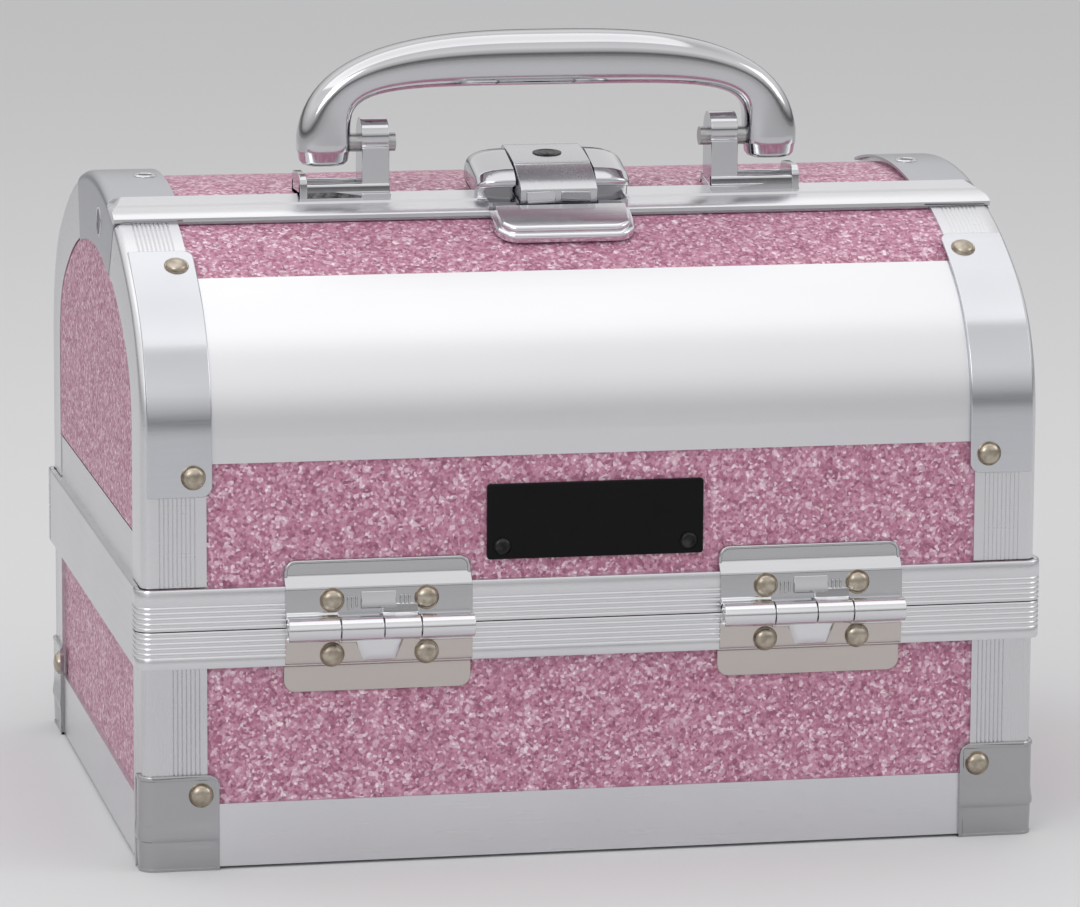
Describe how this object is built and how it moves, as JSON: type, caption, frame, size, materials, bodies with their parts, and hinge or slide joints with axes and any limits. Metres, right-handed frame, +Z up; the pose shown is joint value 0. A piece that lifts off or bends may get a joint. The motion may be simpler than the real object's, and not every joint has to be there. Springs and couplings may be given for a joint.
{
  "type": "makeup storage case",
  "caption": "Arched vanity case with aluminium edges: a box, two lids that part at the top, a bail handle, a latch and swing-out trays.",
  "frame": {"origin": "centre of the face the case stands on", "axes": "+X along the case's width, -Y towards the front with the hinges and name plate, +Z up"},
  "size_m": [0.2442, 0.2014, 0.212],
  "materials": {
    "glitter_board": "pink glitter laminate over fibreboard",
    "board": "black lined fibreboard",
    "lining": "black flocked foam",
    "aluminium": "satin, extruded with fine flutes",
    "satin_sheet": "fine satin sheet",
    "chrome": "polished",
    "plated_steel": "bright plated",
    "steel": "plain",
    "dark_steel": "blackened",
    "rivet_metal": "dull nickel over brass",
    "black_plate": "gloss",
    "tray_plastic": "fine moulded grain"
  },
  "bodies": {
    "box": {"base_floor": "board", "floor_pad": "lining", "base_front_panel": "glitter_board", "base_rear_panel": "glitter_board", "base_left_panel": "glitter_board", "base_right_panel": "glitter_board", "left_gable": "glitter_board", "right_gable": "glitter_board", "bottom_rails": "aluminium", "corner_posts": "aluminium", "base_rim": "aluminium", "left_end_rail": "aluminium", "right_end_rail": "aluminium", "corner_brackets": "chrome", "base_rivets": "rivet_metal", "front_left_hinge_base_leaf": "plated_steel", "front_right_hinge_base_leaf": "plated_steel", "rear_left_hinge_base_leaf": "plated_steel", "rear_right_hinge_base_leaf": "plated_steel", "hinge_pins": "steel"},
    "front_lid": {"front_lid_panel": "glitter_board", "front_lid_sheet": "satin_sheet", "front_lid_rim": "aluminium", "front_lid_left_profile": "aluminium", "front_lid_right_profile": "aluminium", "front_lid_left_bracket": "chrome", "front_lid_right_bracket": "chrome", "front_lid_edge_rail": "aluminium", "name_plate": "black_plate", "front_lid_rivets": "rivet_metal", "plate_rivets": "dark_steel", "latch_keeper": "chrome", "front_left_hinge_lid_leaf": "plated_steel", "front_right_hinge_lid_leaf": "plated_steel"},
    "rear_lid": {"rear_lid_panel": "glitter_board", "top_strip": "aluminium", "rear_lid_rim": "aluminium", "rear_lid_left_profile": "aluminium", "rear_lid_right_profile": "aluminium", "rear_lid_left_bracket": "chrome", "rear_lid_right_bracket": "chrome", "top_left_plate": "aluminium", "top_right_plate": "aluminium", "rear_lid_rivets": "rivet_metal", "rear_left_hinge_lid_leaf": "plated_steel", "rear_right_hinge_lid_leaf": "plated_steel", "left_handle_bracket": "chrome", "right_handle_bracket": "chrome", "handle_pins": "steel", "latch_body": "chrome"},
    "handle": {"handle": "chrome"},
    "latch_lever": {"latch_lever": "chrome"},
    "lock_barrel": {"lock_barrel": "dark_steel"},
    "front_fore_arms": {"front_tray_fore_arms": "steel"},
    "front_aft_arms": {"front_tray_aft_arms": "steel"},
    "front_tray": {"front_tray": "tray_plastic"},
    "rear_fore_arms": {"rear_tray_fore_arms": "steel"},
    "rear_aft_arms": {"rear_tray_aft_arms": "steel"},
    "rear_tray": {"rear_tray": "tray_plastic"}
  },
  "joints": [
    {"name": "front_lid_hinge", "type": "hinge", "parent": "box", "child": "front_lid", "pos_m": [0, -0.0975, 0.064], "axis": [1, 0, 0], "range_deg": [0, 95]},
    {"name": "rear_lid_hinge", "type": "hinge", "parent": "box", "child": "rear_lid", "pos_m": [0, 0.0975, 0.064], "axis": [-1, 0, 0], "range_deg": [0, 95]},
    {"name": "handle_swing", "type": "hinge", "parent": "rear_lid", "child": "handle", "pos_m": [0, -0.028, 0.1825], "axis": [1, 0, 0], "range_deg": [-88, 70]},
    {"name": "latch_lever_lift", "type": "hinge", "parent": "rear_lid", "child": "latch_lever", "pos_m": [0, -0.01891, 0.17577], "axis": [-1, 0, 0], "range_deg": [0, 55]},
    {"name": "lock_turn", "type": "hinge", "parent": "latch_lever", "child": "lock_barrel", "pos_m": [0, -0.02507, 0.16868], "axis": [0, -0.2082, 0.9781], "range_deg": [0, 90]},
    {"name": "front_fore_arm_pivot", "type": "hinge", "parent": "box", "child": "front_fore_arms", "pos_m": [0, -0.07616, 0.05432], "axis": [1, 0, 0], "range_deg": [0, 70]},
    {"name": "front_aft_arm_pivot", "type": "hinge", "parent": "box", "child": "front_aft_arms", "pos_m": [0, -0.05616, 0.05432], "axis": [1, 0, 0], "range_deg": [0, 70]},
    {"name": "front_tray_pivot", "type": "hinge", "parent": "front_fore_arms", "child": "front_tray", "pos_m": [0, -0.033, 0.096], "axis": [1, 0, 0], "range_deg": [-70, 0]},
    {"name": "rear_fore_arm_pivot", "type": "hinge", "parent": "box", "child": "rear_fore_arms", "pos_m": [0, 0.07616, 0.05432], "axis": [-1, 0, 0], "range_deg": [0, 70]},
    {"name": "rear_aft_arm_pivot", "type": "hinge", "parent": "box", "child": "rear_aft_arms", "pos_m": [0, 0.05616, 0.05432], "axis": [-1, 0, 0], "range_deg": [0, 70]},
    {"name": "rear_tray_pivot", "type": "hinge", "parent": "rear_fore_arms", "child": "rear_tray", "pos_m": [0, 0.033, 0.096], "axis": [-1, 0, 0], "range_deg": [-70, 0]}
  ],
  "couplings": [
    {"joint": "front_fore_arm_pivot", "follows": "front_lid_hinge", "ratio": 0.73684},
    {"joint": "front_aft_arm_pivot", "follows": "front_lid_hinge", "ratio": 0.73684},
    {"joint": "front_tray_pivot", "follows": "front_lid_hinge", "ratio": -0.73684},
    {"joint": "rear_fore_arm_pivot", "follows": "rear_lid_hinge", "ratio": 0.73684},
    {"joint": "rear_aft_arm_pivot", "follows": "rear_lid_hinge", "ratio": 0.73684},
    {"joint": "rear_tray_pivot", "follows": "rear_lid_hinge", "ratio": -0.73684}
  ]
}
